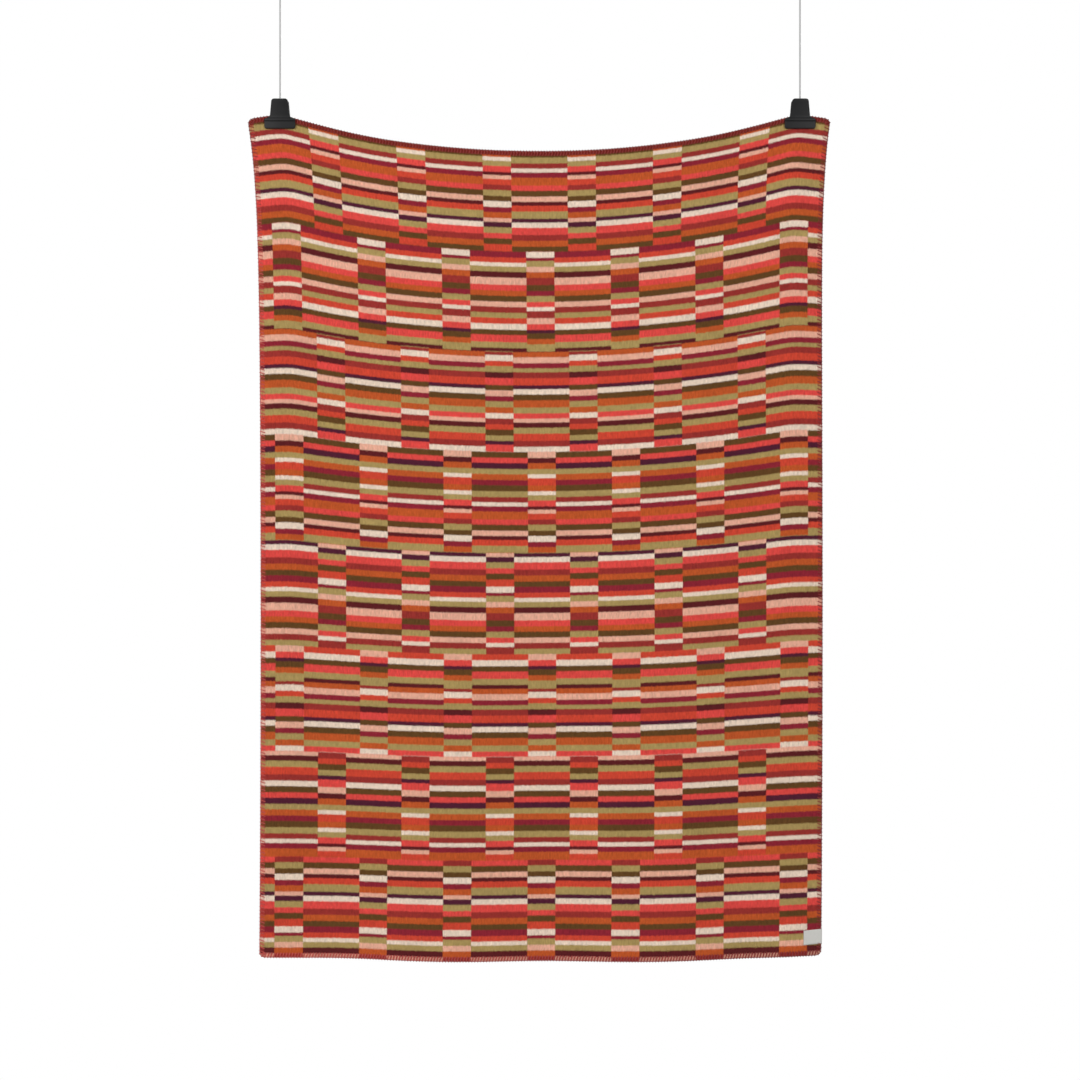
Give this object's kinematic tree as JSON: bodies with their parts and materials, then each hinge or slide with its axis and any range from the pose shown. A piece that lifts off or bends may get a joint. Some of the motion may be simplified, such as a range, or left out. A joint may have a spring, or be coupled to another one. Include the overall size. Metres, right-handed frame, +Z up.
{
  "type": "lambswool blanket hung from spring clips on taut lines",
  "caption": "Milled lambswool throw woven in columns of multicolour bars, with a stitched edge and a blank label, hung by its slack top edge from spring clips on taut lines.",
  "frame": {"origin": "on the ceiling plane, halfway between the two lines that hold the clips", "axes": "+Z up, +X to the right as one faces the front of the blanket, -Y out of its front"},
  "size_m": [1.39, 0.041, 2.3288],
  "materials": {
    "lambswool": "milled and raised wool in multicolour bars, matt and soft",
    "label_tape": "blank woven tape, matt",
    "black_plastic": "moulded, satin",
    "spring_steel": "bright zinc plate",
    "nylon_line": "pale grey braided line",
    "white_plastic": "moulded, satin"
  },
  "bodies": {
    "root": {"blanket": "lambswool", "label": "label_tape", "left_clip_front": "black_plastic", "left_clip_back": "black_plastic", "left_clip_spring": "spring_steel", "left_line": "nylon_line", "left_ceiling_fitting": "white_plastic", "right_clip_front": "black_plastic", "right_clip_back": "black_plastic", "right_clip_spring": "spring_steel", "right_line": "nylon_line", "right_ceiling_fitting": "white_plastic"}
  },
  "joints": []
}
